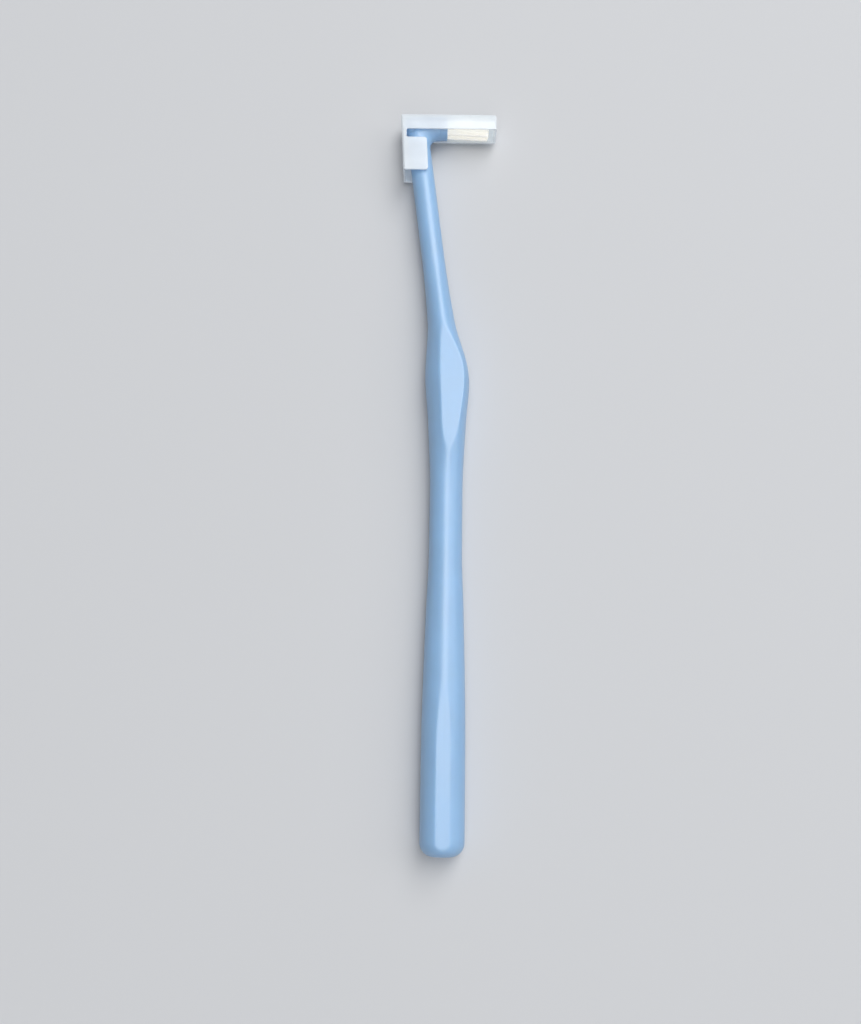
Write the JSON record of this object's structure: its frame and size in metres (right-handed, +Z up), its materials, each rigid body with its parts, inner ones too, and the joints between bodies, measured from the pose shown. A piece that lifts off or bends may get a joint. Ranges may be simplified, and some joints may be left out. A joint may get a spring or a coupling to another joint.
{
  "type": "end-tuft toothbrush",
  "caption": "Slim moulded toothbrush with a leaning neck, a short cross head with one round end tuft, and a clear push-on hood cap.",
  "frame": {"origin": "under the middle of the whole brush with its cap on, on the surface that it lies on", "axes": "+X the way the bristles point, +Y along the handle from the butt end to the head, +Z up, across the handle as it lies on its side"},
  "size_m": [0.0204, 0.1536, 0.0082],
  "materials": {
    "handle_plastic": "satin moulded polypropylene, sky blue",
    "bristle_nylon": "cream-white nylon filament",
    "staple_metal": "drawn flat wire",
    "cap_plastic": "milky translucent, smooth"
  },
  "bodies": {
    "brush": {"handle": "handle_plastic", "tuft_1": "bristle_nylon", "tuft_2": "bristle_nylon", "tuft_3": "bristle_nylon", "tuft_4": "bristle_nylon", "tuft_5": "bristle_nylon", "tuft_6": "bristle_nylon", "tuft_7": "bristle_nylon", "anchor_1": "staple_metal", "anchor_2": "staple_metal", "anchor_3": "staple_metal", "anchor_4": "staple_metal", "anchor_5": "staple_metal", "anchor_6": "staple_metal", "anchor_7": "staple_metal"},
    "cap": {"cap": "cap_plastic"}
  },
  "joints": [
    {"name": "cap_pull", "type": "slide", "parent": "brush", "child": "cap", "axis": [-0.0541, 0.9985, 0], "range_m": [0, 0.018]}
  ]
}
